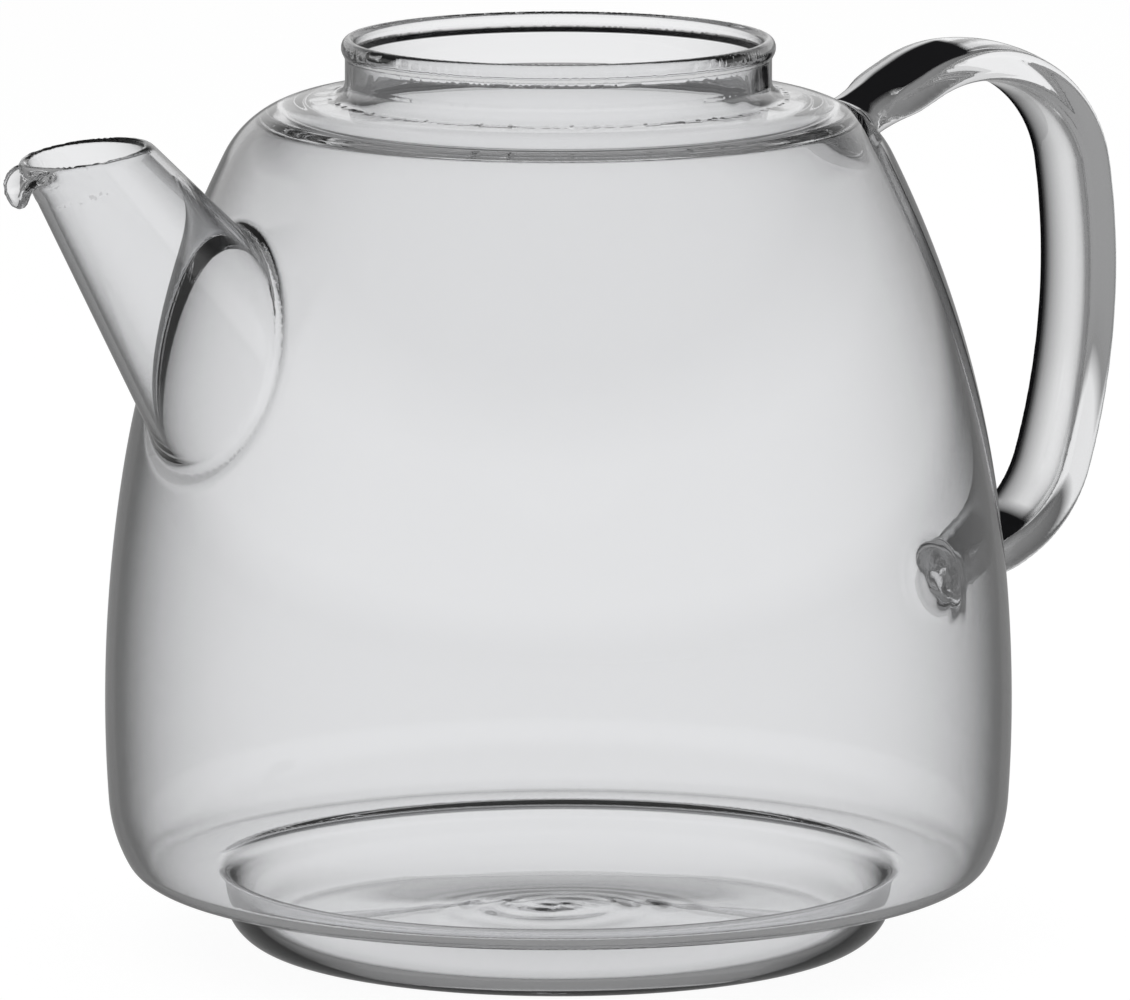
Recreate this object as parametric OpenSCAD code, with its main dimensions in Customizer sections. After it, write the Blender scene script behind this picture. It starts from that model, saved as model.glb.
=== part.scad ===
// Clear borosilicate glass teapot: a mould-blown body with a beaded neck and a stepped foot,
// a tapered spout with a curled pouring lip, and a strap handle, all fused to the body.
// Z is up, the foot stands on z = 0, the spout points along -X and the handle along +X.

/* [Body] */
// Largest outer radius of the belly
belly_r = 65; // [60:0.5:72]
// Height of the widest point above the table
belly_z = 34.5; // [32:0.5:38]
// Wall thickness of the blown body
wall = 1.3; // [1:0.1:1.8]
// Profile radius of the lower half of the long side
side_lower_r = 213; // [190:1:240]
// Profile radius of the upper half of the long side
side_upper_r = 159; // [145:1:180]
// Profile radius of the rounded shoulder
shoulder_r = 14.7; // [12:0.1:17]
// Profile radius just under the widest point
under_r = 196; // [170:1:230]
// Profile radius of the curve that turns under the belly
turn_r = 20.8; // [18:0.1:24]
// Profile radius of the heel above the foot
heel_r = 5.1; // [4:0.1:6.5]

/* [Neck] */
// Outer radius of the neck
neck_r = 30.7; // [28:0.1:32]
// Radius of the bore in the neck
bore_r = 28.8; // [26:0.1:29.5]
// Length of the neck from the shoulder to the middle of the bead
neck_h = 7; // [5.5:0.5:12]
// Radius of the fillet between shoulder and neck
neck_fillet = 2.2; // [1:0.1:3]
// How far the bead stands out from the neck
bead_out = 0.3; // [0.1:0.1:1]
// Height of the bead on the rim
bead_h = 2.9; // [2:0.1:4]

/* [Foot] */
// Outer radius of the foot
foot_r = 48; // [45:0.5:50]
// Radius of the rounding under the foot
foot_round = 7.2; // [5:0.1:7.5]
// Radius of the fillet between foot and heel
foot_fillet = 1.5; // [1:0.1:2]
// Width of the flat ring that the pot stands on
foot_land = 3; // [2:0.5:5]
// Thickness of the floor
floor_t = 2; // [1.5:0.1:3]
// Height of the domed middle of the base
punt_h = 2.6; // [1:0.1:4]

/* [Spout] */
// Slope of the spout above the horizontal, in degrees
spout_angle = 51.5; // [50:0.5:58]
// Height where the spout's axis crosses its reference distance
spout_z = 91.1; // [85:0.1:92]
// Distance of that point from the pot's axis
spout_x = 54.8; // [54:0.1:57]
// Outer radius of the spout there
spout_r = 15; // [13:0.1:16]
// Loss of radius per millimetre along the spout
spout_taper = 0.18; // [0.14:0.005:0.19]
// Distance along the axis to the middle of the mouth
spout_len = 35.6; // [33:0.1:40]
// Wall thickness of the spout
spout_wall = 1.2; // [1:0.1:1.6]
// Rise of the mouth towards the body, in degrees
mouth_angle = 9; // [4:0.5:14]
// Width of the curled pouring lip
lip_w = 8.4; // [6:0.2:10]
// Radius of the curl, to the middle of the glass
curl_r = 2.4; // [1.6:0.1:2.8]
// How far the lip turns over, in degrees
curl_turn = 146; // [120:1:150]
// Length of the lip's straight drop after the curl
lip_drop = 1.2; // [0.4:0.1:2.5]
// Thickness of the glass in the lip
lip_t = 1.7; // [1.2:0.1:2.2]

/* [Handle] */
// Width of the handle strap
strap_w = 15.2; // [12:0.2:16]
// Thickness of the handle strap
strap_t = 6; // [5:0.1:7.5]
// How much the strap's wide faces bulge at the middle
strap_crown = 0.8; // [0.6:0.1:1.4]
// Corner radius of the strap's section
strap_corner = 1.1; // [0.8:0.1:1.4]
// Height of the upper root
root_z = 115; // [112:0.5:116]
// Slope at which the handle leaves the shoulder, in degrees
rise_angle = 28; // [20:1:30]
// Length of the straight stretch above the shoulder
rise_len = 13; // [11:0.5:18]
// Radius of the upper bend
top_bend_r = 18.7; // [17:0.1:23]
// Direction of the handle below the upper bend, in degrees
grip_start = -81; // [-86:1:-76]
// Radius of the long grip curve
grip_r = 98; // [80:1:110]
// Direction of the handle above the lower bend, in degrees
grip_end = -107; // [-114:1:-106]
// Radius of the lower bend
low_bend_r = 19; // [14:0.1:20]
// Direction in which the handle meets the wall, in degrees
landing_angle = -150; // [-164:1:-148]

/* [Seals] */
// Spread of the fused glass round the spout's root
spout_flare = 2.4; // [1.5:0.1:3]
// Spread of the fused glass round the handle's roots
handle_flare = 1.8; // [1:0.1:2.5]

/* [Hidden] */

glass = [0.86, 0.88, 0.90, 0.45];

neck_wall = neck_r - bore_r;
shoulder_end = 84;       // direction of the profile's normal where the shoulder meets the deck
side_split = 9.2;        // normal direction where the two side curves join
side_end = 26.4;         // normal direction where the side meets the shoulder
under_end = -3.9;        // normal direction where the belly starts to turn under
turn_end = -28.8;        // normal direction where the heel starts

// Unit vector in the profile plane
function dir(a) = [cos(a), sin(a)];
// Centre of an arc of radius r that passes through p with its outward normal at angle a
function arc_centre(p, r, a) = p - r * dir(a);
// Points on an arc round c from angle a to b, with n steps
function arc(c, r, a, b, n) = [for (i = [0:n]) c + r * dir(a + (b - a) * i / n)];
// The same with separate horizontal and vertical radii
function oval(c, rx, rz, a, b, n) =
    [for (i = [0:n]) let (t = a + (b - a) * i / n) c + [rx * cos(t), rz * sin(t)]];

// Centres of the arcs that make the side, from the widest point up
belly = [belly_r, belly_z];
c_lower = arc_centre(belly, side_lower_r, 0);
c_upper = arc_centre(c_lower + side_lower_r * dir(side_split), side_upper_r, side_split);
c_shoulder = arc_centre(c_upper + side_upper_r * dir(side_end), shoulder_r, side_end);
deck_start = c_shoulder + shoulder_r * dir(shoulder_end);
deck_rise = (deck_start[0] - neck_r - neck_fillet) / tan(shoulder_end);
deck_z = deck_start[1] + deck_rise;
c_neck = [neck_r + neck_fillet, deck_z + neck_fillet];
rim_z = deck_z + neck_h;

// Centres of the arcs below the widest point
c_under = arc_centre(belly, under_r, 0);
c_turn = arc_centre(c_under + under_r * dir(under_end), turn_r, under_end);
c_heel = arc_centre(c_turn + turn_r * dir(turn_end), heel_r, turn_end);
ledge_z = c_heel[1] - heel_r;
c_foot_fillet = [foot_r + foot_fillet, ledge_z - foot_fillet];
c_foot = [foot_r - foot_round, foot_round];
land_in = c_foot[0] - foot_land;

// Side of the body, offset inwards by t, from the ledge above the foot to the deck
function side(t) = concat(
    arc(c_heel, heel_r - t, -90, turn_end, 8),
    arc(c_turn, turn_r - t, turn_end, under_end, 5),
    arc(c_under, under_r - t, under_end, 0, 3),
    arc(c_lower, side_lower_r - t, 0, side_split, 6),
    arc(c_upper, side_upper_r - t, side_split, side_end, 9),
    arc(c_shoulder, shoulder_r - t, side_end, shoulder_end, 10));

// Fire-polished rim: flush with the bore, swelling outwards
bead_half = (neck_wall + bead_out) / 2;
c_bead = [bore_r + bead_half, rim_z];
rim = oval(c_bead, bead_half, bead_h / 2, -60, 180, 18);

// Base dome, as a height over the foot's ring
function punt(r) = punt_h * (1 + cos(180 * r / land_in)) / 2;

outer_side = side(0);
outer_profile = concat(
    [[land_in, 0]],
    arc(c_foot, foot_round, -90, 0, 8),
    arc(c_foot_fillet, foot_fillet, 180, 90, 4),
    outer_side,
    arc(c_neck, neck_fillet, 270, 180, 5),
    rim);

// Inner surface, from the bore down to the floor
inner_round = foot_round - wall;
inner_profile = concat(
    oval(c_neck, neck_fillet + neck_wall, neck_fillet + wall, 180, 270, 7),
    [for (i = [len(outer_side) - 1:-1:0]) side(wall)[i]],
    oval(c_foot_fillet, foot_fillet + wall, foot_fillet + wall, 90, 180, 5),
    arc([foot_r - wall - inner_round, floor_t + inner_round], inner_round, 0, -90, 8));
floor_steps = 12;
floor_profile = [for (i = [0:floor_steps]) let (r = land_in * (1 - i / floor_steps)) [r, floor_t + punt(r)]];
base_profile = [for (i = [floor_steps:-1:1]) let (r = land_in * (1 - i / floor_steps)) [r, punt(r)]];

// Height-to-radius table of the outer side, used to seat what is fused to it
side_table = [for (p = outer_side) [p[1], p[0]]];
function side_radius(z) = lookup(z, side_table);

// Solid enclosed by the outer surface
module envelope() {
    rotate_extrude($fn = 96)
        polygon(concat([[0, 0]], outer_profile, [[0, rim_z]]));
}

// Spout frame: u runs along the axis, v lies across it in the plane of symmetry
spout_dir = [-cos(spout_angle), 0, sin(spout_angle)];
spout_across = [sin(spout_angle), 0, cos(spout_angle)];
spout_ref = [-spout_x, 0, spout_z];
function spout_radius(u) = spout_r - spout_taper * u;
function spout_point(u, a, grow = 0) = spout_ref + u * spout_dir
    + (spout_radius(u) + grow) * (cos(a) * spout_across + [0, sin(a), 0]);

root_u = -0.78 * spout_len; // start of the tube, inside the body
tip_u = 1.4 * spout_len;    // end of the tube before the mouth is cut
mouth = spout_ref + spout_len * spout_dir;

// Cone along the spout's axis, thinner than the outside by t
module spout_cone(t) {
    translate(spout_ref) rotate([0, spout_angle - 90, 0]) translate([0, 0, root_u])
        cylinder(h = tip_u - root_u, r1 = spout_radius(root_u) - t, r2 = spout_radius(tip_u) - t, $fn = 96);
}

// Everything above the plane of the mouth
module above_mouth() {
    size = 3 * (spout_radius(spout_len) + tip_u - spout_len);
    translate(mouth) rotate([0, -mouth_angle, 0])
        translate([-size / 2, -size / 2, 0]) cube(size);
}

// Front edge of the mouth, on the middle of the glass
front_slope = spout_angle + atan(spout_taper);
mouth_turn = 90 - spout_angle - mouth_angle;
front_u = spout_len - spout_radius(spout_len) * tan(mouth_turn) / (1 + spout_taper * tan(mouth_turn));
front_edge = spout_point(front_u, 180, -spout_wall / 2);

overlap = 0.02;          // how far the drop reaches back into the curl
// Section of the lip: a shallow trough, across the width
trough_r = lip_w * 0.75; // radius of the trough's curve
trough_half = asin((lip_w - lip_t) / 2 / trough_r);
module lip_section() {
    c = [curl_r + trough_r, 0];
    polygon(concat(
        arc(c, trough_r + lip_t / 2, 180 - trough_half, 180 + trough_half, 8),
        arc(c + trough_r * dir(180 + trough_half), lip_t / 2, 180 + trough_half, 360 + trough_half, 5),
        arc(c, trough_r - lip_t / 2, 180 + trough_half, 180 - trough_half, 8),
        arc(c + trough_r * dir(180 - trough_half), lip_t / 2, -trough_half, 180 - trough_half, 5)));
}

// The lip leaves the mouth along the spout's front edge, turns over and drops a little
module lip() {
    translate(front_edge)
        rotate([0, front_slope - 90, 0])
            translate([-curl_r, 0, 0])
                rotate([90, 0, 0]) {
                    rotate_extrude(angle = curl_turn, $fn = 96)
                        lip_section();
                    rotate([0, 0, curl_turn])
                        rotate([-90, 0, 0])
                            translate([0, 0, -overlap])
                                linear_extrude(lip_drop + overlap)
                                    lip_section();
                }
}

module body() {
    color(glass) difference() {
        rotate_extrude($fn = 96)
            polygon(concat(outer_profile, inner_profile, floor_profile, base_profile));
        spout_cone(spout_wall);
    }
}

module spout() {
    color(glass) difference() {
        union() {
            difference() {
                spout_cone(0);
                above_mouth();
            }
            lip();
        }
        spout_cone(spout_wall);
        envelope();
    }
}

// Section of the strap, with x across its thickness and y across its width: points,
// and each point's outward normal. Shallow arcs make the wide faces, tight ones the corners.
crown_r = (pow(strap_w / 2, 2) + pow(strap_crown, 2)) / (2 * strap_crown);
corner_y = strap_w / 2 - strap_corner;
crown_end = asin(corner_y / (crown_r - strap_corner));
corner_x = strap_t / 2 - crown_r + (crown_r - strap_corner) * cos(crown_end);
crown_steps = 6;
corner_steps = 4;
function section_arc(c, r, a, b, n, skip = 0) =
    [for (i = [skip:n - skip]) let (t = a + (b - a) * i / n) [c + r * dir(t), dir(t)]];
// One wide face with the two corners that follow it; the other half is the same, turned by 180
function section_half(s, turn) = concat(
    section_arc([s * (strap_t / 2 - crown_r), 0], crown_r,
        turn - crown_end, turn + crown_end, crown_steps, 1),
    section_arc([s * corner_x, s * corner_y], strap_corner,
        turn + crown_end, turn + 90, corner_steps),
    section_arc([-s * corner_x, s * corner_y], strap_corner,
        turn + 90, turn + 180 - crown_end, corner_steps));
strap_outline = concat(section_half(1, 0), section_half(-1, 180));
strap_section = [for (q = strap_outline) q[0]];

// The handle's path in the plane of symmetry, as [x, z]; it bends clockwise all the way
root = [side_radius(root_z), root_z];
top_start = root + rise_len * dir(rise_angle);
c_top = top_start - top_bend_r * dir(rise_angle + 90);
c_grip = c_top + (top_bend_r - grip_r) * dir(grip_start + 90);
c_low = c_grip + (grip_r - low_bend_r) * dir(grip_end + 90);
low_end = c_low + low_bend_r * dir(landing_angle + 90);
landing_len = (low_end[0] - side_radius(low_end[1])) / -cos(landing_angle);
root_depth = strap_t;    // how far the straight ends reach into the body before they are trimmed

// Stations on a bend round c, as [point, direction]; step 0 ends the stretch before it
function bend(c, r, from, to, steps) =
    [for (i = [1:steps]) let (t = from + (to - from) * i / steps) [c + r * dir(t + 90), t]];
stations = concat(
    [[root - root_depth * dir(rise_angle), rise_angle], [top_start, rise_angle]],
    bend(c_top, top_bend_r, rise_angle, grip_start, 16),
    bend(c_grip, grip_r, grip_start, grip_end, 8),
    bend(c_low, low_bend_r, grip_end, landing_angle, 8),
    [[low_end + (landing_len + root_depth) * dir(landing_angle), landing_angle]]);

// A point of the strap's section at distance u along the direction angle from start
function strap_point(start, angle, q, u) = [start[0], q[1], start[1]]
    + u * [cos(angle), 0, sin(angle)] + q[0] * [sin(angle), 0, -cos(angle)];

// Quads between neighbouring rings of n points, each split in two
function skin_faces(rows, n, closed) = [for (j = [0:rows - (closed ? 1 : 2)], i = [0:n - 1])
    let (k = (j + 1) % rows, m = (i + 1) % n) each [
        [j * n + i, k * n + m, j * n + m],
        [j * n + i, k * n + i, k * n + m]]];

// Solid rod of the strap's section along all the stations
module strap() {
    n = len(strap_section);
    rows = len(stations);
    points = [for (s = stations, q = strap_section) strap_point(s[0], s[1], q, 0)];
    polyhedron(points, concat(
        skin_faces(rows, n, false),
        [[for (i = [0:n - 1]) i], [for (i = [n - 1:-1:0]) (rows - 1) * n + i]]));
}

// Fused glass round a root: a ring whose foot lies on the body and whose flank climbs the
// stem by the same distance in a hollow fillet. Row 0 is the stem's own foot.
flare_steps = 5;
function flare_out(f, j) = j < 0 ? 0 : f * (1 - sin(90 * j / flare_steps));
function flare_up(f, j) = j < 0 ? 0 : f * (1 - cos(90 * j / flare_steps));
function above_side(p) = norm([p[0], p[1]]) > side_radius(p[2]);
// Distance along the spout where its surface, moved outwards by grow, leaves the body,
// by halving the bracket
halvings = 24;
function spout_seat(a, grow, lo = root_u, hi = 0.7 * spout_len, step = halvings) = step == 0 ? (lo + hi) / 2
    : let (mid = (lo + hi) / 2) above_side(spout_point(mid, a, grow))
        ? spout_seat(a, grow, lo, mid, step - 1)
        : spout_seat(a, grow, mid, hi, step - 1);

spout_seal_n = 48;
module spout_seal() {
    points = [for (j = [-1:flare_steps], i = [0:spout_seal_n - 1])
        let (a = 360 * i / spout_seal_n, o = flare_out(spout_flare, j))
            spout_point(spout_seat(a, o) + flare_up(spout_flare, j), a, o)];
    color(glass) polyhedron(points, skin_faces(flare_steps + 2, spout_seal_n, true));
}

// A point of the strap's outline moved outwards by o
function grown(q, o) = q[0] + o * q[1];
// The same for a straight end of the strap
function strap_seat(start, angle, q, lo = -root_depth, hi = strap_w, step = halvings) = step == 0 ? (lo + hi) / 2
    : let (mid = (lo + hi) / 2) above_side(strap_point(start, angle, q, mid))
        ? strap_seat(start, angle, q, lo, mid, step - 1)
        : strap_seat(start, angle, q, mid, hi, step - 1);

// Ring round a straight end that leaves the body at start in the direction angle
module strap_seal(start, angle) {
    n = len(strap_section);
    points = [for (j = [-1:flare_steps], i = [0:n - 1])
        let (q = grown(strap_outline[i], flare_out(handle_flare, j)))
            strap_point(start, angle, q, strap_seat(start, angle, q) + flare_up(handle_flare, j))];
    color(glass) polyhedron(points, skin_faces(flare_steps + 2, n, true));
}

module handle() {
    color(glass) difference() {
        strap();
        envelope();
    }
}

module upper_handle_seal() {
    strap_seal(root, rise_angle);
}

module lower_handle_seal() {
    strap_seal(low_end + landing_len * dir(landing_angle), landing_angle + 180);
}

body();
spout();
handle();
spout_seal();
upper_handle_seal();
lower_handle_seal();
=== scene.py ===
"""Looks of the clear glass teapot: blown body, fused spout with a curled lip, strap handle.

The glass is written as one field of signed distances in millimetres, negative inside the
glass, so that every fused joint flows as molten glass does. The field is meshed once, and each
vertex is set exactly on it and given its true normal.
"""
import math

import bpy
import numpy as np
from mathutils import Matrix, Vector


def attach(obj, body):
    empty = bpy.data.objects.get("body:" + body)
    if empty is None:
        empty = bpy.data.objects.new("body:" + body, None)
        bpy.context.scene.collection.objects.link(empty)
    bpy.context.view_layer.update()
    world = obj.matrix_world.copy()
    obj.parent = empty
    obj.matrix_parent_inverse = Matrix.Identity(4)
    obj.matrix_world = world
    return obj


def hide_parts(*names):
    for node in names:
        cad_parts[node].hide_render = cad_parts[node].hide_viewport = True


MM = 0.001
FAR = 1e3

# Body profile in millimetres, as [r, z], with outward normals in degrees
WALL = 1.3
BELLY = (65.0, 34.5)
LOWER_R, UPPER_R, SHOULDER_R = 213.0, 159.0, 14.7
UNDER_R, TURN_R, HEEL_R = 196.0, 20.8, 5.1
SIDE_SPLIT, SIDE_END, SHOULDER_END = 9.2, 26.4, 84.0
UNDER_END, TURN_END = -3.9, -28.8
NECK_R, BORE_R, NECK_H, NECK_FILLET = 30.4, 28.8, 7.0, 2.2
BEAD_OUT, BEAD_H, BEAD_FUSE = 0.55, 2.8, 0.3
FOOT_R, FOOT_ROUND, FOOT_FILLET, FOOT_LAND = 48.0, 7.2, 1.5, 3.0
FLOOR_T, PUNT_H, FLOOR_ZONE = 2.0, 2.6, 5.0
SHOULDER_RING, SHOULDER_SWELL, SHOULDER_SPREAD = (39.2, 120.1), 1.9, 2.6

# Spout: slope and a point of its axis, radii in the plane of symmetry and across it
SPOUT_ANGLE, SPOUT_REF = 52.55, (-55.2, 91.0)
SPOUT_IN, SPOUT_IN_TAPER = 13.9, 0.162
SPOUT_OUT, SPOUT_OUT_TAPER = 16.4, 0.203
SPOUT_LEN, SPOUT_TAIL, SPOUT_WALL, MOUTH_ANGLE = 35.5, 26.0, 1.2, 8.6
SPOUT_FUSE, HOLE_ROUND, MOUTH_ROUND = 1.1, 0.6, 0.9
SEAM_OFF, SEAM_H, SEAM_W = 0.8, 0.45, 0.7   # raised seam round the spout's fused root
LIP_W, LIP_T, CURL_R, CURL_TURN, LIP_DROP, LIP_BACK = 4.2, 1.7, 1.75, 146.0, 0.6, 0.8
LIP_ROOT, LIP_FRONT, LIP_ROUND, LIP_FUSE = 2.5, 3.0, 0.8 * LIP_T, 0.3
SWELL_BACK, SWELL_RUN = 1.0, 6.0     # where the lip starts to thicken, and over what length

# Handle: section, path and fused roots
STRAP_W, STRAP_T, STRAP_CROWN, STRAP_CORNER = 15.2, 5.95, 0.8, 1.1
ROOT_Z, RISE_ANGLE, RISE_LEN, ROOT_DEPTH = 115.0, 28.0, 13.0, 9.0
TOP_BEND_R, GRIP_START, GRIP_R, GRIP_END = 18.7, -81.0, 98.0, -107.0
LOW_BEND_R, LANDING = 19.0, -150.0
HANDLE_FUSE, ROOT_NARROW, ROOT_THICKER, ROOT_REACH = 3.6, 1.0, 0.2, 7.0
STRAP_CLEAR = 1.2                    # from the body's side to where the strap takes its painted shade

# Unevenness of the blown glass: heights, steps and reaches
ROLL_H = 0.03
STREAK_H, STREAKS, STREAK_REACH, STREAK_TURN = 0.06, 23, 3.5, math.radians(29)
RING_H, RING_STEP, RING_REACH = 0.10, 3.4, 9
LUMP_H, LUMP_REACH = 0.35, 2.6
SWIRL_H, SWIRL_STEP, SWIRL_REACH = 0.05, 5.2, 15
EYE_H, EYE_REACH = 0.08, 5

GLASS_IOR, CLEAR_TINT = 1.47, (0.885, 0.888, 0.896)
PAINTED_DARK = (0.012, 0.012, 0.013)         # painted shade: near black, stands for light that is thrown back within the glass
# Painted shade: shares of the glass's tint by the Fresnel factor, darker the more slanted a wall is met
STEEP_SHADE = ((0.035, 1.0), (0.060, 0.93), (0.11, 0.82), (0.35, 0.28), (0.65, 0.08))
SHADOW_TINT = (0.985, 0.986, 0.988)
# Painted shade on the strap's inner and upper faces: how much light passes them, by the tilt of the face
# towards +Y
INNER_FACE = ((-0.21, 1.0), (-0.10, 0.97), (-0.04, 0.85), (0.007, 0.68), (0.05, 0.52), (0.08, 0.38),
              (0.105, 0.20), (0.125, 0.06), (0.15, 0.0))
UPPER_FACE = ((0.06, 0.0), (0.10, 0.75))
# Ranges of a face's tilt over which it comes to count as level, inward, upward or backward
LEVEL, INWARD, UPWARD, BACKWARD = (0.80, 0.96), (0.30, 0.50), (0.70, 0.80), (0.10, 0.16)
# Painted shade: how dark the line on the far side of the bead is from within, by the height over the
# bead's middle
RIM_LINE = ((-1.70, 0.0), (-1.55, 1.0), (-1.00, 1.0), (-0.85, 0.0))
RIM_LOW, RIM_SPAN, RIM_SKIN = 3.5, 4.0, 0.6

# Studio light levels
WHITE, ROOM_LIGHT, FLOOR_GLOW, FLOOR_MIRRORED, OVERHEAD = 1.0, 0.6, 0.88, 0.22, 0.15
# The room's brightness in reflections, by height: dim but for the backdrop's bright edge
ROOM = ((0.0, 0.3), (0.06, 0.9), (0.28, 0.9), (0.45, 0.12), (1.0, 0.30))
BACKDROP_END = (0.35, 0.75)          # heights between which the white backdrop fades out
FLOOR_HALF, FLOOR_GAP, FLOOR_MATT = 3.0, 0.0003, 0.18
LAMPS = (("key", (-0.9, -0.8, 1.4), 0.7, 8), ("fill", (1.1, -0.3, 1.2), 0.9, 5))
LAMP_AIM = (0, 0, 0.06)

# Camera: its turn from the +Y view, its rise and distance, and what it looks at
LENS, SHIFT, CAMERA_AIM = 413.0, (0.0058, 0.006), (0, 0, 0.063)
CAMERA_TURN, CAMERA_RISE, CAMERA_AWAY = math.radians(29.3), math.radians(9.34), 1.855

GRID_LOW, GRID_HIGH = (-92.0, -68.0, -1.5), (93.0, 68.0, 133.0)
PITCH = 0.6  # spacing of the grid that the glass is sampled on
BLOCK, BATCH = 4, 8000               # cells along the side of a coarse block; blocks at a time
DEEP = 20.0                          # stands for a distance where no stretch of a profile is near


def unit(a):
    """Unit vector in the profile plane at a degrees."""
    return np.array([math.cos(math.radians(a)), math.sin(math.radians(a))])


def blend_min(a, b, k):
    """The smaller of two fields, flowing from one to the other over a distance k."""
    h = np.maximum(k - np.abs(a - b), 0)
    return np.minimum(a, b) - h * h / (4 * k)


def blend_max(a, b, k):
    return -blend_min(-a, -b, k)


def nearest(fields):
    """Of several signed fields the one closest to its surface at each point."""
    out = fields[0]
    for f in fields[1:]:
        out = np.where(np.abs(f) < np.abs(out), f, out)
    return out


def arc_field(r, z, c, radius, start, end, side=1):
    """Distance to an arc, positive outside it, for points within its sector only."""
    dx, dz = r - c[0], z - c[1]
    turn = (np.degrees(np.arctan2(dz, dx)) - start) % 360
    return np.where(turn <= end - start, side * (np.hypot(dx, dz) - radius), FAR)


def oval_field(r, z, c, rx, rz):
    """Distance to an ellipse, true near it."""
    dx, dz = (r - c[0]) / rx, (z - c[1]) / rz
    q = np.maximum(np.hypot(dx, dz), 1e-6)
    return (q - 1) * q / np.maximum(np.hypot(dx / rx, dz / rz), 1e-6)


def line_field(r, z, start, direction, length):
    """Distance to a straight stretch, positive on its left, for points beside it only."""
    u = (r - start[0]) * direction[0] + (z - start[1]) * direction[1]
    n = (z - start[1]) * direction[0] - (r - start[0]) * direction[1]
    return np.where((u >= 0) & (u <= length), n, FAR)


# Centres of the body's arcs, each found from its neighbour
C_LOWER = np.array(BELLY) - LOWER_R * unit(0)
C_UPPER = C_LOWER + (LOWER_R - UPPER_R) * unit(SIDE_SPLIT)
C_SHOULDER = C_UPPER + (UPPER_R - SHOULDER_R) * unit(SIDE_END)
DECK_START = C_SHOULDER + SHOULDER_R * unit(SHOULDER_END)
DECK_Z = DECK_START[1] + (DECK_START[0] - NECK_R - NECK_FILLET) / math.tan(math.radians(SHOULDER_END))
C_NECK = np.array([NECK_R + NECK_FILLET, DECK_Z + NECK_FILLET])
RIM_Z = DECK_Z + NECK_H
C_UNDER = np.array(BELLY) - UNDER_R * unit(0)
C_TURN = C_UNDER + (UNDER_R - TURN_R) * unit(UNDER_END)
C_HEEL = C_TURN + (TURN_R - HEEL_R) * unit(TURN_END)
LEDGE_Z = C_HEEL[1] - HEEL_R
C_STEP = np.array([FOOT_R + FOOT_FILLET, LEDGE_Z - FOOT_FILLET])
C_FOOT = np.array([FOOT_R - FOOT_ROUND, FOOT_ROUND])
LAND_IN = C_FOOT[0] - FOOT_LAND
BEAD_HALF = (NECK_R - BORE_R + BEAD_OUT) / 2


def side_fields(r, z, t):
    """The body's side, offset inwards by t, from the foot's fillet to the neck's."""
    deck = unit(SHOULDER_END + 90)
    start = DECK_START - t * unit(SHOULDER_END)
    length = (start[0] - C_NECK[0]) / -deck[0]
    return [
        arc_field(r, z, C_STEP, FOOT_FILLET + t, 90, 180, -1),
        line_field(r, z, (C_HEEL[0], LEDGE_Z + t), (-1, 0), C_HEEL[0] - C_STEP[0]),
        arc_field(r, z, C_HEEL, HEEL_R - t, -90, TURN_END),
        arc_field(r, z, C_TURN, TURN_R - t, TURN_END, UNDER_END),
        arc_field(r, z, C_UNDER, UNDER_R - t, UNDER_END, 0),
        arc_field(r, z, C_LOWER, LOWER_R - t, 0, SIDE_SPLIT),
        arc_field(r, z, C_UPPER, UPPER_R - t, SIDE_SPLIT, SIDE_END),
        arc_field(r, z, C_SHOULDER, SHOULDER_R - t, SIDE_END, SHOULDER_END),
        -line_field(r, z, start, deck, length),
    ]


def filled(fields, r, z, inner_r):
    """Closes a profile: where no stretch of it is near, the sign comes from the radius."""
    d = nearest(fields)
    return np.where(np.abs(d) < FAR / 2, d, np.where(r < inner_r, -DEEP, DEEP))


def punt(r):
    """Height of the domed middle of the base over the foot's ring, and its slope."""
    turn = np.pi * np.minimum(r / LAND_IN, 1)
    return PUNT_H * (1 + np.cos(turn)) / 2, -PUNT_H * np.sin(turn) / 2 * np.pi / LAND_IN


def outer_field(r, z):
    """The body as if it were solid, up to its beaded rim."""
    fields = side_fields(r, z, 0) + [
        arc_field(r, z, C_FOOT, FOOT_ROUND, -90, 0),
        -line_field(r, z, (FOOT_R, FOOT_ROUND), (0, 1), C_STEP[1] - FOOT_ROUND),
        arc_field(r, z, C_NECK, NECK_FILLET, 180, 270, -1),
        -line_field(r, z, (NECK_R, C_NECK[1]), (0, 1), 2 * NECK_H),
    ]
    side = np.maximum(filled(fields, r, z, FOOT_R), z - RIM_Z)
    bead = oval_field(r, z, (BORE_R + BEAD_HALF, RIM_Z), BEAD_HALF, BEAD_H / 2)
    rise, slope = punt(r)
    return np.maximum(blend_min(side, bead, BEAD_FUSE), (rise - z) / np.sqrt(1 + slope**2))


def inner_field(r, z):
    """The hollow of the body, open through the neck."""
    floor_round = FOOT_ROUND - WALL
    c_floor = (FOOT_R - WALL - floor_round, FLOOR_T + floor_round)
    neck = -oval_field(r, z, C_NECK, NECK_R - BORE_R + NECK_FILLET, WALL + NECK_FILLET)
    beside = (r < C_NECK[0]) & (z < C_NECK[1])
    rise, slope = punt(r)
    floor = (FLOOR_T + rise - z) / np.sqrt(1 + slope**2)
    fields = side_fields(r, z, WALL) + [
        arc_field(r, z, c_floor, floor_round, -90, 0),
        -line_field(r, z, (FOOT_R - WALL, c_floor[1]), (0, 1), C_STEP[1] - c_floor[1]),
        np.where(beside, neck, FAR),
        -line_field(r, z, (BORE_R, C_NECK[1]), (0, 1), 3 * NECK_H),
        np.where(r < c_floor[0], floor, FAR),
    ]
    off = ((r - SHOULDER_RING[0])**2 + (z - SHOULDER_RING[1])**2) / SHOULDER_SPREAD**2
    swell = np.exp(-off**2)
    return filled(fields, r, z, FOOT_R) + SHOULDER_SWELL * swell


def spout_frame(x, z):
    """Distances along the spout's axis and across it in the plane of symmetry."""
    slope = unit(SPOUT_ANGLE)
    dx, dz = x - SPOUT_REF[0], z - SPOUT_REF[1]
    return dz * slope[1] - dx * slope[0], dx * slope[1] + dz * slope[0]


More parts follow.
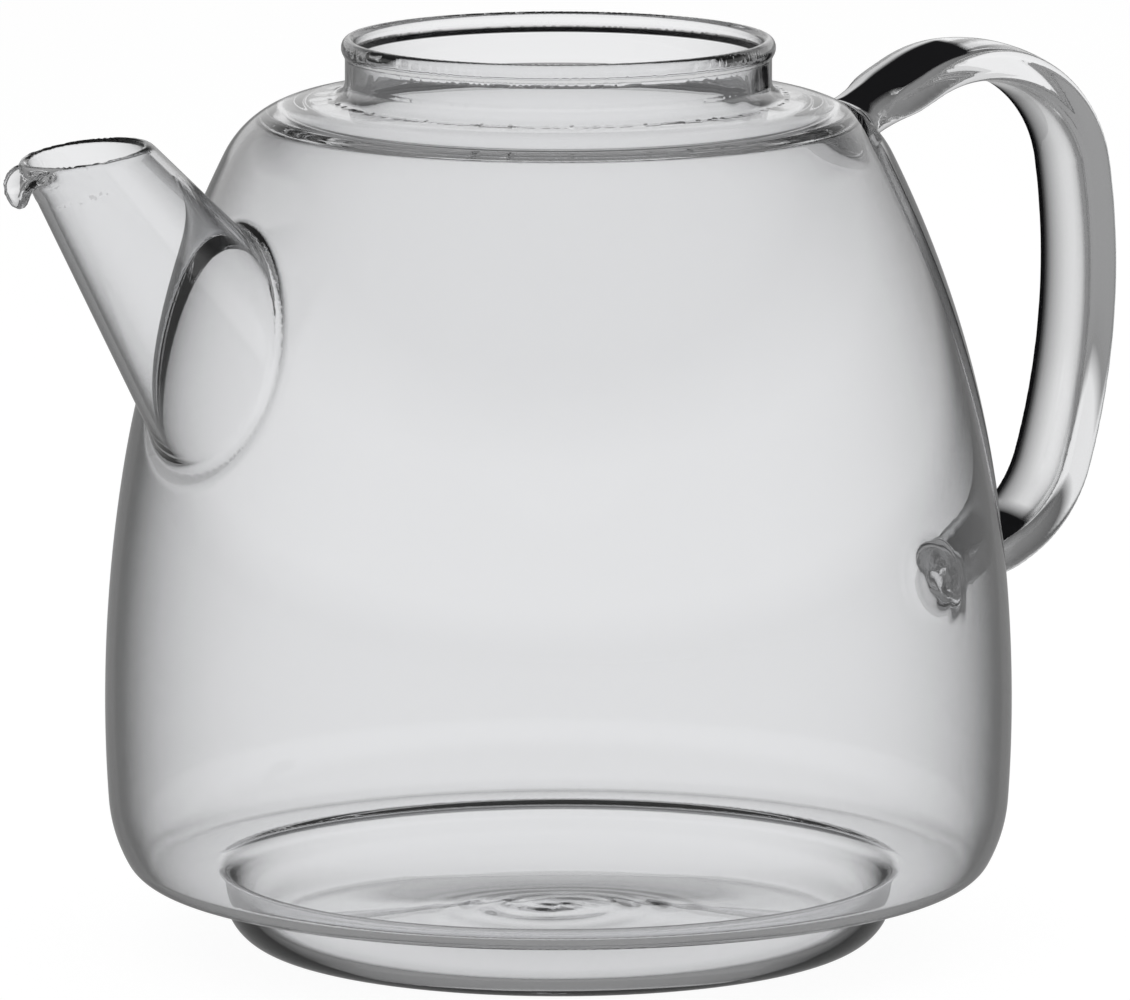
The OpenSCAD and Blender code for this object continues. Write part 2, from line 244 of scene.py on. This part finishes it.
def spout_cone(x, y, z, t):
    """The spout as a solid oval cone, thinner than its outside by t."""
    u, v = spout_frame(x, z)
    cone = oval_field(v, y, (0, 0), SPOUT_IN - SPOUT_IN_TAPER * u - t,
                      SPOUT_OUT - SPOUT_OUT_TAPER * u - t)
    return np.maximum(cone, -SPOUT_TAIL - u)


def above_mouth(x, z):
    """Height over the plane that the mouth is cut on."""
    slope, tilt = unit(SPOUT_ANGLE), unit(90 + MOUTH_ANGLE)
    return (x - SPOUT_REF[0] + SPOUT_LEN * slope[0]) * tilt[0] \
        + (z - SPOUT_REF[1] - SPOUT_LEN * slope[1]) * tilt[1]


def lip_start():
    """Where the middle of the front wall passes just below the mouth, and its direction."""
    lo, hi = 0.0, SPOUT_LEN
    for _ in range(30):
        u = (lo + hi) / 2
        v = SPOUT_WALL / 2 - (SPOUT_IN - SPOUT_IN_TAPER * u)
        slope = unit(SPOUT_ANGLE)
        x = SPOUT_REF[0] - u * slope[0] + v * slope[1]
        z = SPOUT_REF[1] + u * slope[1] + v * slope[0]
        lo, hi = (u, hi) if above_mouth(x, z) < -LIP_BACK else (lo, u)
    return np.array([x, z]), 180 - SPOUT_ANGLE - math.degrees(math.atan(SPOUT_IN_TAPER))


def uncurled(x, z):
    """Points of the curled lip moved to where they were while the wall was straight, with how
    far along the lip they are."""
    start, way = lip_start()
    c = start + CURL_R * unit(way + 90)
    dx, dz = x - c[0], z - c[1]
    turn = (np.degrees(np.arctan2(dz, dx)) - (way - 90) + 90) % 360 - 90
    end = c + CURL_R * unit(way + CURL_TURN - 90)
    tip, out = unit(way + CURL_TURN), unit(way + CURL_TURN - 90)
    arc_run = CURL_R * math.radians(CURL_TURN)
    after = turn >= CURL_TURN
    s = np.where(after, arc_run + (x - end[0]) * tip[0] + (z - end[1]) * tip[1],
                 CURL_R * np.radians(turn))
    n = np.where(after, (x - end[0]) * out[0] + (z - end[1]) * out[1], np.hypot(dx, dz) - CURL_R)
    ahead = (x - start[0]) * unit(way)[0] + (z - start[1]) * unit(way)[1]
    s = np.where(turn < 0, ahead, s)
    moved_x = start[0] + s * unit(way)[0] + n * unit(way - 90)[0]
    moved_z = start[1] + s * unit(way)[1] + n * unit(way - 90)[1]
    return np.where(turn < 0, x, moved_x), np.where(turn < 0, z, moved_z), s


def lip_field(x, y, z):
    """The pouring lip: the front of the mouth drawn out into a tongue that curls over."""
    sx, sz, s = uncurled(x, z)
    run = CURL_R * math.radians(CURL_TURN) + LIP_DROP + LIP_BACK
    thick = (LIP_T - SPOUT_WALL) * np.clip((s + SWELL_BACK) / SWELL_RUN, 0, 1)
    outside = spout_cone(sx, y, sz, -thick / 2)
    inside = spout_cone(sx, y, sz, SPOUT_WALL + thick / 2)
    edge = s - LIP_BACK - run * np.exp(-(np.abs(y) / LIP_W)**2.6)
    wall = blend_max(outside, -inside, LIP_ROUND)
    front = spout_frame(sx, sz)[1] + LIP_FRONT
    return np.maximum(blend_max(wall, edge, LIP_ROUND), np.maximum(front, -LIP_ROOT - s))


# Handle path in the plane of symmetry
def side_radius(z_wanted):
    """Outer radius of the body's side at a height."""
    for c, radius, a, b in ((C_LOWER, LOWER_R, 0, SIDE_SPLIT), (C_UPPER, UPPER_R, SIDE_SPLIT, SIDE_END),
                            (C_SHOULDER, SHOULDER_R, SIDE_END, SHOULDER_END)):
        lo, hi = (c + radius * unit(t) for t in (a, b))
        if lo[1] <= z_wanted <= hi[1]:
            return c[0] + math.sqrt(radius**2 - (z_wanted - c[1])**2)


def side_radius_at(z):
    """Outer radius of the body's side at each of many heights."""
    return np.interp(z, *np.array([(h, side_radius(h)) for h in np.arange(35.0, 119.0)]).T)


ROOT = np.array([side_radius(ROOT_Z), ROOT_Z])
TOP_START = ROOT + RISE_LEN * unit(RISE_ANGLE)
C_TOP = TOP_START - TOP_BEND_R * unit(RISE_ANGLE + 90)
C_GRIP = C_TOP + (TOP_BEND_R - GRIP_R) * unit(GRIP_START + 90)
C_LOW = C_GRIP + (GRIP_R - LOW_BEND_R) * unit(GRIP_END + 90)
LOW_END = C_LOW + LOW_BEND_R * unit(LANDING + 90)
LANDING_LEN = (LOW_END[0] - side_radius(LOW_END[1])) / -unit(LANDING)[0]
LANDED = LOW_END + LANDING_LEN * unit(LANDING)


def strap_field(x, y, z):
    """The handle: a rounded strap swept along its bends, its ends run into the body."""
    way = nearest([
        line_field(x, z, ROOT - ROOT_DEPTH * unit(RISE_ANGLE), unit(RISE_ANGLE), RISE_LEN + ROOT_DEPTH),
        arc_field(x, z, C_TOP, TOP_BEND_R, GRIP_START + 90, RISE_ANGLE + 90),
        arc_field(x, z, C_GRIP, GRIP_R, GRIP_END + 90, GRIP_START + 90),
        arc_field(x, z, C_LOW, LOW_BEND_R, LANDING + 90, GRIP_END + 90),
        line_field(x, z, LOW_END, unit(LANDING), LANDING_LEN + ROOT_DEPTH),
    ])
    from_root = np.minimum(np.hypot(x - ROOT[0], z - ROOT[1]), np.hypot(x - LANDED[0], z - LANDED[1]))
    near_root = np.exp(-(from_root / ROOT_REACH)**4)
    crown_r = (STRAP_W**2 / 4 + STRAP_CROWN**2) / (2 * STRAP_CROWN)
    a = np.hypot(np.abs(way) - STRAP_T / 2 + crown_r, y) - crown_r + STRAP_CORNER
    b = np.abs(y) - (STRAP_W / 2 - STRAP_CORNER)
    outside = np.hypot(np.maximum(a, 0), np.maximum(b, 0))
    strap = outside + np.minimum(np.maximum(a, b), 0) - STRAP_CORNER
    oval = oval_field(way, y, (0, 0), STRAP_T / 2 + ROOT_THICKER, STRAP_W / 2 - ROOT_NARROW)
    return np.where(strap > FAR / 2, FAR, strap + (oval - strap) * near_root)


def bell(off, reach):
    return np.exp(-(off / reach)**2)


def swirl(turn, r):
    """Turned ripples that the gathered glass leaves in the middle of the base."""
    ripples = SWIRL_H * bell(r, SWIRL_REACH) * np.sin(2 * np.pi * r / SWIRL_STEP + turn)
    return ripples + EYE_H * bell(r, EYE_REACH) * np.sin(3 * turn + r)


def waves(x, y, z):
    """Small unevenness of the inner surface: streaks at two sides of the neck, a slow roll in
    the wall, rings round the handle's lower root and a swirl in the middle of the floor."""
    turn, r = np.arctan2(y, x), np.hypot(x, y)
    roll = ROLL_H * np.sin(3 * turn + z / 19) * np.sin(z / 23 + 1)
    sides = np.cos(turn + STREAK_TURN)**6
    streaks = STREAK_H * sides * np.sin(STREAKS * turn + 2 * np.sin(5 * turn))
    off = np.sqrt((x - LANDED[0])**2 + y**2 + (z - LANDED[1])**2)
    rings = RING_H * np.cos(off * 2 * np.pi / RING_STEP) * bell(off, RING_REACH)
    lump = LUMP_H * bell(off, LUMP_REACH)
    base = swirl(turn, r) * (z < 2 * FLOOR_ZONE)
    return roll + streaks * bell(z - C_NECK[1], STREAK_REACH) + rings + lump + base


def glass_field(p):
    """Distance to the surface of the whole fused teapot, negative inside the glass."""
    x, y, z = p.T
    r = np.hypot(x, y)
    solid, hollow = outer_field(r, z), inner_field(r, z) + waves(x, y, z)
    front, back = x < -25, x > 30
    xf, yf, zf = p[front].T
    tube = blend_max(spout_cone(xf, yf, zf, 0), above_mouth(xf, zf), MOUTH_ROUND)
    seam = SEAM_H * np.exp(-((tube - SEAM_OFF) / SEAM_W)**2 - (solid[front] / 2)**2)
    solid[front] = blend_min(solid[front], tube, SPOUT_FUSE) - seam
    hollow[front] = blend_min(hollow[front], spout_cone(xf, yf, zf, SPOUT_WALL), HOLE_ROUND)
    solid[back] = blend_min(solid[back], strap_field(*p[back].T), HANDLE_FUSE)
    glass = blend_max(solid, -hollow, MOUTH_ROUND)
    glass[front] = blend_min(glass[front], lip_field(xf, yf, zf), LIP_FUSE)
    return glass


def sampled(lo, hi):
    """The field on a grid, exact in the blocks that the surface may pass through."""
    block = BLOCK * PITCH
    count = np.ceil((hi - lo) / block).astype(int)
    centres = np.stack(np.meshgrid(*[lo[i] + (np.arange(count[i]) + 0.5) * block for i in range(3)],
                                   indexing="ij"), -1).reshape(-1, 3)
    rough = glass_field(centres).reshape(count)
    value = np.repeat(np.repeat(np.repeat(rough, BLOCK, 0), BLOCK, 1), BLOCK, 2).astype(np.float32)
    close = np.argwhere(np.abs(rough) < block)
    steps = np.stack(np.meshgrid(*[np.arange(BLOCK)] * 3, indexing="ij"), -1).reshape(-1, 3)
    for part in np.array_split(close, max(1, len(close) // BATCH)):
        grid = (part[:, None] * BLOCK + steps).reshape(-1, 3)
        value[tuple(grid.T)] = glass_field(lo + grid * PITCH)
    return value


def surface_net(value, lo):
    """One vertex in each grid cell that the surface passes through, and the quads between."""
    inside = value < 0
    corners = [(i, j, k) for i in (0, 1) for j in (0, 1) for k in (0, 1)]
    size = np.array(value.shape) - 1

    def shifted(a, c):
        return a[c[0]:c[0] + size[0], c[1]:c[1] + size[1], c[2]:c[2] + size[2]]

    number = sum(shifted(inside, c).astype(np.int8) for c in corners)
    cells = np.argwhere((number > 0) & (number < 8))
    index = np.full(size, -1, np.int64)
    index[tuple(cells.T)] = np.arange(len(cells))
    total, crossings = np.zeros((len(cells), 3)), np.zeros((len(cells), 1))
    for a in corners:
        for axis in range(3):
            if a[axis]:
                continue
            b = tuple(c + (i == axis) for i, c in enumerate(a))
            va, vb = (value[tuple((cells + c).T)].astype(float) for c in (a, b))
            cut = ((va < 0) != (vb < 0))[:, None]
            t = np.where(cut[:, 0], va / np.where(va == vb, 1, va - vb), 0)[:, None]
            total += cut * (np.array(a) + t * (np.array(b) - np.array(a)))
            crossings += cut
    points = lo + (cells + total / crossings) * PITCH
    quads = []
    for axis in range(3):
        b, c = (axis + 1) % 3, (axis + 2) % 3
        step = np.eye(3, dtype=int)
        low = np.take(inside, range(size[axis]), axis)
        high = np.take(inside, range(1, size[axis] + 1), axis)
        edges = np.argwhere(low != high)
        edges = edges[np.all(edges[:, [b, c]] > 0, 1) & np.all(edges[:, [b, c]] < size[[b, c]], 1)]
        out = inside[tuple(edges.T)]
        ring = [edges - step[b] - step[c], edges - step[c], edges, edges - step[b]]
        quad = np.stack([index[tuple(e.T)] for e in ring], 1)
        quads.append(np.where(out[:, None], quad, quad[:, ::-1]))
    return points, np.concatenate(quads)


def slope_of(p, h=0.02):
    """Gradient of the field at each point."""
    out = np.empty_like(p)
    for axis in range(3):
        d = np.zeros(3)
        d[axis] = h
        out[:, axis] = (glass_field(p + d) - glass_field(p - d)) / (2 * h)
    return out


def settled(points, quads, rounds=2):
    """Evens the vertices out along the surface and sets each one exactly on it."""
    ends = np.concatenate([quads[:, [i, (i + 1) % 4]] for i in range(4)])
    degree = np.bincount(ends[:, 0], minlength=len(points))[:, None]
    for _ in range(rounds):
        g = slope_of(points)
        size = np.maximum((g * g).sum(1, keepdims=True), 0.25)
        move = -glass_field(points)[:, None] * g / size
        points = points + np.clip(move, -PITCH / 2, PITCH / 2)
        mean = np.stack([np.bincount(ends[:, 0], points[ends[:, 1], i], len(points)) for i in range(3)], 1)
        drift = 0.5 * (mean / degree - points)
        points = points + drift - g * (drift * g).sum(1, keepdims=True) / size
    g = slope_of(points)
    size = np.maximum((g * g).sum(1, keepdims=True), 0.25)
    points = points - np.clip(glass_field(points)[:, None] * g / size, -PITCH / 2, PITCH / 2)
    g = slope_of(points)
    return points, g / np.linalg.norm(g, axis=1, keepdims=True)


def glass_mesh(name, points, quads, normals):
    mesh = bpy.data.meshes.new(name)
    mesh.vertices.add(len(points))
    mesh.vertices.foreach_set("co", (points * MM).astype(np.float32).ravel())
    mesh.loops.add(quads.size)
    mesh.loops.foreach_set("vertex_index", quads.astype(np.int32).ravel())
    mesh.polygons.add(len(quads))
    mesh.polygons.foreach_set("loop_start", np.arange(0, quads.size, 4, dtype=np.int32))
    mesh.polygons.foreach_set("use_smooth", np.ones(len(quads), bool))
    mesh.update(calc_edges=True)
    mesh.normals_split_custom_set_from_vertices(normals.astype(np.float32))
    piece = bpy.data.objects.new(name, mesh)
    bpy.context.collection.objects.link(piece)
    return piece


def new_material(name):
    m = bpy.data.materials.new(name)
    m.use_nodes = True
    m.node_tree.nodes.clear()
    return m, m.node_tree.nodes, m.node_tree.links


def math_node(nodes, links, operation, *values):
    """A maths node fed with numbers or sockets, and its result."""
    node = nodes.new("ShaderNodeMath")
    node.operation = operation
    for socket, value in zip(node.inputs, values):
        if isinstance(value, (int, float)):
            socket.default_value = value
        else:
            links.new(value, socket)
    return node.outputs["Value"]


def ramp_node(nodes, links, value, stops):
    """A colour ramp through (position, colour) stops, fed by value."""
    node = nodes.new("ShaderNodeValToRGB")
    ramp = node.color_ramp
    for i, (position, colour) in enumerate(stops):
        stop = ramp.elements[i] if i < 2 else ramp.elements.new(position)
        stop.position, stop.color = position, (*colour, 1)
    links.new(value, node.inputs["Fac"])
    return node.outputs["Color"]


def grey(level):
    return (level,) * 3


def share_over(nodes, links, value, limits):
    """0 where a value is under the lower limit, rising to 1 at the upper one."""
    return ramp_node(nodes, links, value, ((limits[0], grey(0)), (limits[1], grey(1))))


def mixed(nodes, links, share, first, second):
    """A mix of two shaders, with the second one's share."""
    node = nodes.new("ShaderNodeMixShader")
    for socket, value in zip(node.inputs, (share, first, second)):
        links.new(value, socket)
    return node.outputs["Shader"]


def tint_with_steep_shade(nodes, links):
    """The glass's own tint, with painted shade on upright walls: where a wall is met at a slant the tint
    darkens, standing for light that is bent aside, out of the bright backdrop. Level surfaces, which send
    it on to the pale table, keep the plain tint."""
    steep, facing = nodes.new("ShaderNodeFresnel"), nodes.new("ShaderNodeNewGeometry")
    steep.inputs["IOR"].default_value = GLASS_IOR
    split = nodes.new("ShaderNodeSeparateXYZ")
    links.new(facing.outputs["Normal"], split.inputs["Vector"])
    level = share_over(nodes, links, math_node(nodes, links, "ABSOLUTE", split.outputs["Z"]), LEVEL)
    walls = ramp_node(nodes, links, steep.outputs["Fac"],
                      [(f, tuple(share * c for c in CLEAR_TINT)) for f, share in STEEP_SHADE])
    both = nodes.new("ShaderNodeMix")
    both.data_type = "RGBA"
    links.new(level, both.inputs["Factor"])
    links.new(walls, both.inputs["A"])
    both.inputs["B"].default_value = (*CLEAR_TINT, 1)
    return both.outputs["Result"], split


def rim_line(nodes, links):
    """Light that meets the underside of the rim's bead from within the glass is thrown back, so
    the far side of the rim shows a thin dark line there. The mesh is too coarse to give it, so it
    is painted by height, where the outside of the neck is met from within (Backfacing)."""
    place, split = nodes.new("ShaderNodeNewGeometry"), nodes.new("ShaderNodeSeparateXYZ")
    links.new(place.outputs["Position"], split.inputs["Vector"])
    height = math_node(nodes, links, "MULTIPLY_ADD", split.outputs["Z"], 1 / (RIM_SPAN * MM),
                       (RIM_LOW - RIM_Z) / RIM_SPAN)
    band = ramp_node(nodes, links, height, [((z + RIM_LOW) / RIM_SPAN, grey(v)) for z, v in RIM_LINE])
    squares = [math_node(nodes, links, "POWER", split.outputs[axis], 2) for axis in "XY"]
    outer = math_node(nodes, links, "GREATER_THAN", math_node(nodes, links, "ADD", *squares),
                      ((NECK_R - RIM_SKIN) * MM)**2)
    within = math_node(nodes, links, "MULTIPLY", outer, place.outputs["Backfacing"])
    return math_node(nodes, links, "SUBTRACT", 1, math_node(nodes, links, "MULTIPLY", within, band))


def strap_shade(nodes, links, split):
    """The thick strap bends light further: from outside, its inner face darkens towards the far
    edge, and the rising stretch shows the dark of the room in its upper face. Both are painted by
    the tilt of the faces, as fitted to one view, and are left out from within (Backfacing)."""
    across = math_node(nodes, links, "MULTIPLY_ADD", split.outputs["Y"], 0.5, 0.5)
    inner, upper = (ramp_node(nodes, links, across, [(y / 2 + 0.5, grey(v)) for y, v in face])
                    for face in (INNER_FACE, UPPER_FACE))
    back = math_node(nodes, links, "MULTIPLY", split.outputs["X"], -1)
    upward = share_over(nodes, links, split.outputs["Z"], UPWARD)
    rising = math_node(nodes, links, "MULTIPLY", share_over(nodes, links, back, BACKWARD), upward)
    inward = math_node(nodes, links, "MULTIPLY", share_over(nodes, links, back, INWARD),
                       math_node(nodes, links, "SUBTRACT", 1, upward))
    shade = 1.0
    for where, level in ((inward, inner), (rising, upper)):
        less = math_node(nodes, links, "MULTIPLY", where, math_node(nodes, links, "SUBTRACT", 1, level))
        shade = math_node(nodes, links, "MULTIPLY", shade, math_node(nodes, links, "SUBTRACT", 1, less))
    within = nodes.new("ShaderNodeNewGeometry").outputs["Backfacing"]
    return math_node(nodes, links, "MAXIMUM", shade, within)


def glass_material(name, strap=False):
    """Clear borosilicate glass, with painted shade: a near black matt share mixed in by the rim's line or
    the strap's faces. Its shadow is a faint one, as light comes through it.
    """
    m, nodes, links = new_material(name)
    out, glass = nodes.new("ShaderNodeOutputMaterial"), nodes.new("ShaderNodeBsdfPrincipled")
    # Base colour: the glass's tint, with painted shade on walls met at a slant
    tint_and_shade, split = tint_with_steep_shade(nodes, links)
    links.new(tint_and_shade, glass.inputs["Base Color"])
    for key, value in (("Roughness", 0.0), ("IOR", GLASS_IOR), ("Transmission Weight", 1.0)):
        glass.inputs[key].default_value = value
    # Painted shade: the near black matt share, mixed in by the rim's painted line or the strap's painted
    # faces
    painted_dark, clear = nodes.new("ShaderNodeBsdfDiffuse"), nodes.new("ShaderNodeBsdfTransparent")
    painted_dark.inputs["Color"].default_value = (*PAINTED_DARK, 1)
    clear.inputs["Color"].default_value = (*SHADOW_TINT, 1)
    shade = strap_shade(nodes, links, split) if strap else rim_line(nodes, links)
    shaded = mixed(nodes, links, shade, painted_dark.outputs["BSDF"], glass.outputs["BSDF"])
    shadow = nodes.new("ShaderNodeLightPath").outputs["Is Shadow Ray"]
    links.new(mixed(nodes, links, shadow, shaded, clear.outputs["BSDF"]), out.inputs["Surface"])
    return m


def floor_material():
    """Pale matt floor that reads as white where nothing shades it."""
    m, nodes, links = new_material("pale_floor")
    out = nodes.new("ShaderNodeOutputMaterial")
    matt = nodes.new("ShaderNodeBsdfDiffuse")
    matt.inputs["Color"].default_value = (*grey(FLOOR_MATT), 1)
    glow = nodes.new("ShaderNodeEmission")
    _, seen = plain_view(nodes, links)
    level = math_node(nodes, links, "MULTIPLY_ADD", seen, FLOOR_GLOW - FLOOR_MIRRORED, FLOOR_MIRRORED)
    links.new(level, glow.inputs["Strength"])
    add = nodes.new("ShaderNodeAddShader")
    links.new(matt.outputs["BSDF"], add.inputs[0])
    links.new(glow.outputs["Emission"], add.inputs[1])
    links.new(add.outputs["Shader"], out.inputs["Surface"])
    return m


def make_floor():
    mesh = bpy.data.meshes.new("floor")
    s = FLOOR_HALF
    mesh.from_pydata([(-s, -s, 0), (s, -s, 0), (s, s, 0), (-s, s, 0)], [], [(0, 1, 2, 3)])
    floor = bpy.data.objects.new("floor", mesh)
    floor.location.z = -FLOOR_GAP
    floor.data.materials.append(floor_material())
    bpy.context.collection.objects.link(floor)


def plain_view(nodes, links):
    """Two flags: whether the ray came from the camera, or was mirrored or let through by a
    piece, and whether it also was never mirrored on its way. Only the second kind sees the white
    backdrop: a mirrored ray sees the grey ROOM, and a dimmer floor."""
    light = nodes.new("ShaderNodeLightPath")
    sent = math_node(nodes, links, "MAXIMUM", light.outputs["Is Camera Ray"],
                     light.outputs["Is Glossy Ray"])
    sent = math_node(nodes, links, "MAXIMUM", sent, light.outputs["Is Transmission Ray"])
    unmirrored = math_node(nodes, links, "LESS_THAN", light.outputs["Glossy Depth"], 0.5)
    return sent, math_node(nodes, links, "MULTIPLY", sent, unmirrored)


def make_world():
    """White where it is seen directly or through glass; a soft grey room for reflections."""
    world = bpy.data.worlds.new("studio")
    bpy.context.scene.world = world
    world.use_nodes = True
    nodes, links = world.node_tree.nodes, world.node_tree.links
    nodes.clear()
    out = nodes.new("ShaderNodeOutputWorld")
    white, room, lit = (nodes.new("ShaderNodeBackground") for _ in range(3))
    lit.inputs["Strength"].default_value = ROOM_LIGHT
    place, split = nodes.new("ShaderNodeTexCoord"), nodes.new("ShaderNodeSeparateXYZ")
    links.new(place.outputs["Generated"], split.inputs["Vector"])
    height = split.outputs["Z"]
    links.new(ramp_node(nodes, links, height, [(z, grey(v)) for z, v in ROOM]), room.inputs["Color"])
    top = nodes.new("ShaderNodeMapRange")
    top.interpolation_type = "SMOOTHSTEP"
    limits = ("From Min", "From Max", "To Min", "To Max")
    for key, value in zip(limits, (*BACKDROP_END, WHITE, OVERHEAD)):
        top.inputs[key].default_value = value
    links.new(height, top.inputs["Value"])
    links.new(top.outputs["Result"], white.inputs["Strength"])
    sent, seen = plain_view(nodes, links)
    mirrored = mixed(nodes, links, sent, lit.outputs["Background"], room.outputs["Background"])
    links.new(mixed(nodes, links, seen, mirrored, white.outputs["Background"]), out.inputs["Surface"])


def soft_lamp(name, place, size, power):
    data = bpy.data.lights.new(name, "AREA")
    data.shape, data.size, data.energy = "DISK", size, power
    lamp = bpy.data.objects.new(name, data)
    lamp.location = place
    lamp.visible_glossy = lamp.visible_transmission = lamp.visible_camera = False
    lamp.rotation_euler = (Vector(LAMP_AIM) - Vector(place)).to_track_quat("-Z", "Y").to_euler()
    bpy.context.collection.objects.link(lamp)


def make_camera():
    data = bpy.data.cameras.new("camera")
    data.sensor_width, data.lens = 36.0, LENS
    data.shift_x, data.shift_y = SHIFT
    data.clip_end = 20.0
    camera = bpy.data.objects.new("camera", data)
    turn, rise = CAMERA_TURN, CAMERA_RISE
    back = Vector((-math.sin(turn) * math.cos(rise), -math.cos(turn) * math.cos(rise), math.sin(rise)))
    camera.location = Vector(CAMERA_AIM) + CAMERA_AWAY * back
    camera.rotation_euler = back.to_track_quat("Z", "Y").to_euler()
    bpy.context.collection.objects.link(camera)
    bpy.context.scene.camera = camera


def make_teapot():
    """The whole fused pot, with the strap's painted shade on what stands clear of the body."""
    low, high = np.array(GRID_LOW), np.array(GRID_HIGH)
    points, quads = surface_net(sampled(low, high), low)
    points, normals = settled(points, quads)
    teapot = glass_mesh("teapot_glass", points, quads, normals)
    is_strap = points[:, 0] > side_radius_at(points[:, 2]) + STRAP_CLEAR
    teapot.data.materials.append(glass_material("clear_glass"))
    teapot.data.materials.append(glass_material("strap_glass", strap=True))
    teapot.data.polygons.foreach_set("material_index", is_strap[quads].all(1).astype(np.int32))
    return teapot


def set_up_render():
    scene = bpy.context.scene
    scene.view_settings.view_transform = "Standard"
    scene.cycles.max_bounces = scene.cycles.transmission_bounces = 32
    scene.cycles.glossy_bounces = scene.cycles.transparent_max_bounces = 16


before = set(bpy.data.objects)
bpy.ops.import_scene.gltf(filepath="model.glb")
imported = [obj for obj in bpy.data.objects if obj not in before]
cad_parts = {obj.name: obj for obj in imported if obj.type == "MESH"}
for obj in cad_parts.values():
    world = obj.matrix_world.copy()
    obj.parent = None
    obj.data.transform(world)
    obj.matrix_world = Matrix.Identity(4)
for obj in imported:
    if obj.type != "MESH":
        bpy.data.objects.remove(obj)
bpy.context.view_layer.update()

teapot = make_teapot()
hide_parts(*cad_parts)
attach(teapot, "root")

make_floor()
make_world()
for lamp in LAMPS:
    soft_lamp(*lamp)
make_camera()
set_up_render()
